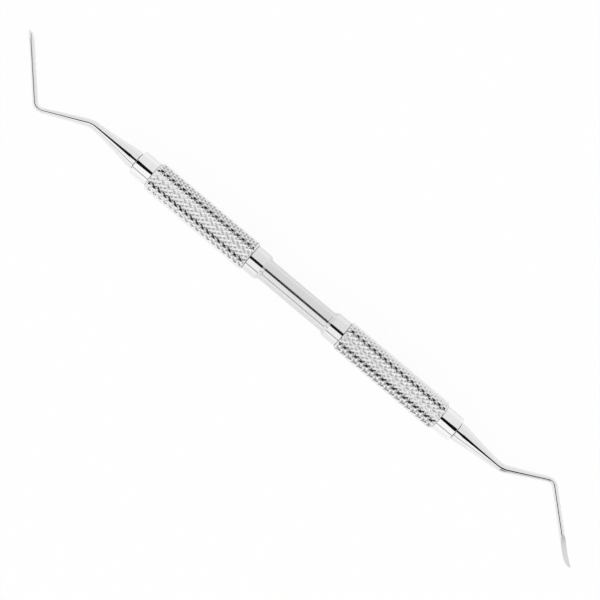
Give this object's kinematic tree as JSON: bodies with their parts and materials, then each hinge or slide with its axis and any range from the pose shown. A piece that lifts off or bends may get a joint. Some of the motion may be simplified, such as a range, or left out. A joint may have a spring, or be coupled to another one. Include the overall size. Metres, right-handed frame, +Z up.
{
  "type": "dental elevator",
  "caption": "Double-ended dental root elevator: turned handle with diamond-knurled grips and plain waist, and a bent, tapered, pointed blade pressed into each end.",
  "frame": {"origin": "on the handle's axis at the middle of the waist", "axes": "+X along the handle towards the end whose blade faces up, +Z up, square to the surface that it lies on"},
  "size_m": [0.182, 0.0154, 0.008],
  "materials": {
    "handle_steel": "satin",
    "end_steel": "polished"
  },
  "bodies": {
    "root": {"handle": "handle_steel", "left_working_end": "end_steel", "right_working_end": "end_steel"}
  },
  "joints": []
}
